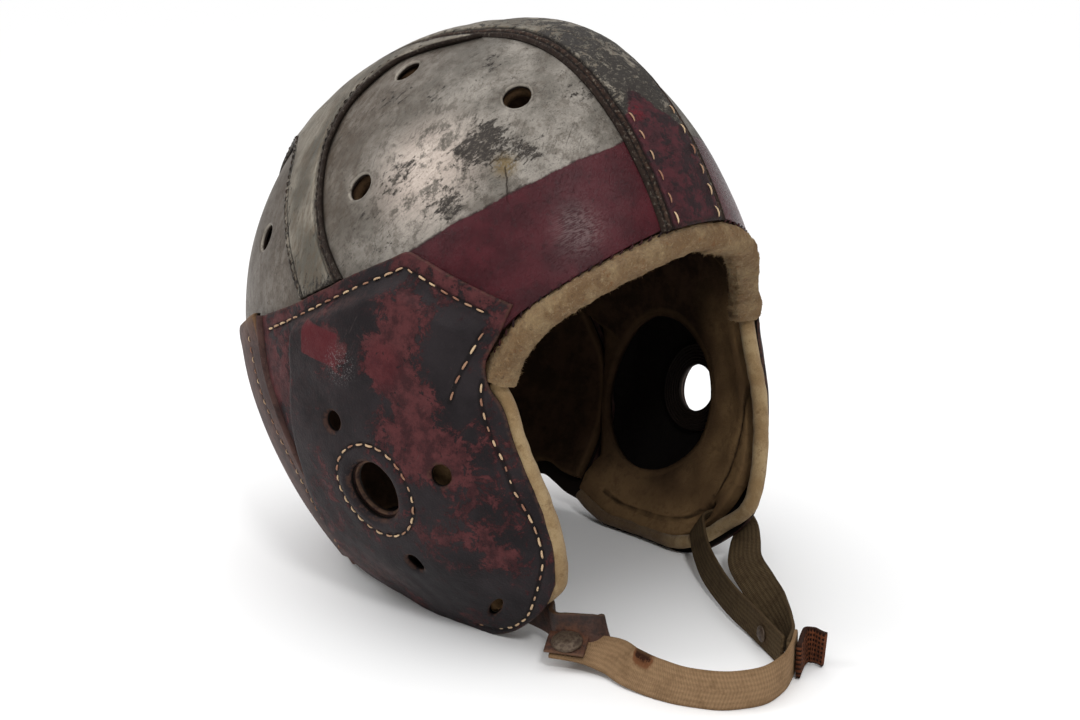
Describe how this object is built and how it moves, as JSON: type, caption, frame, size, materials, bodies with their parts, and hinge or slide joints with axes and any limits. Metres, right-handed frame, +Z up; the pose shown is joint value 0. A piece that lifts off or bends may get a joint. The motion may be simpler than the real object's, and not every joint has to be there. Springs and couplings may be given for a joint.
{
  "type": "football helmet",
  "caption": "Old leather football helmet with silver crown panels, dark ear flaps, suede brow roll and webbing chin strap, resting tipped back.",
  "frame": {"origin": "centre of the bounding box at the floor, between the ear flaps' tips and the neck guard's lower edge", "axes": "+Z up from the floor, the face opening looks along -Y, the wearer's left is +X"},
  "size_m": [0.2104, 0.3013, 0.2376],
  "materials": {
    "silver_leather": "worn silver paint on leather, satin, scuffed",
    "worn_silver_leather": "silver paint rubbed through to grey-brown leather",
    "black_maroon_leather": "black worn over maroon, satin, mottled",
    "maroon_leather": "dark maroon leather, satin, worn",
    "tan_suede": "tan suede, fuzzy",
    "brown_suede": "dark brown suede, stained",
    "webbing": "ribbed olive-tan webbing",
    "brown_leather": "dark brown leather",
    "orange_weave": "orange-brown weave",
    "steel": "dull, tarnished"
  },
  "bodies": {
    "root": {"crown_panel_front_left": "silver_leather", "crown_panel_front_right": "silver_leather", "crown_panel_rear_left": "silver_leather", "crown_panel_rear_right": "silver_leather", "crown_strip_center": "worn_silver_leather", "crown_strip_cross_left": "worn_silver_leather", "crown_strip_cross_right": "worn_silver_leather", "ear_flap_left": "black_maroon_leather", "ear_flap_right": "black_maroon_leather", "ear_ring_left": "maroon_leather", "ear_ring_right": "maroon_leather", "neck_guard": "maroon_leather", "seam_welt_left": "maroon_leather", "seam_welt_right": "maroon_leather", "brow_roll": "tan_suede", "edge_roll_left": "tan_suede", "edge_roll_right": "tan_suede", "liner_crown": "brown_suede", "liner_flap_left": "brown_suede", "liner_flap_right": "brown_suede", "liner_neck": "brown_suede", "strap_webbing": "webbing", "strap_loop_left": "webbing", "strap_tab_right": "brown_leather", "strap_end_tab": "orange_weave", "snap_patch_right": "brown_leather", "snap_cap_right": "steel", "strap_rivet_left": "steel"}
  },
  "joints": []
}
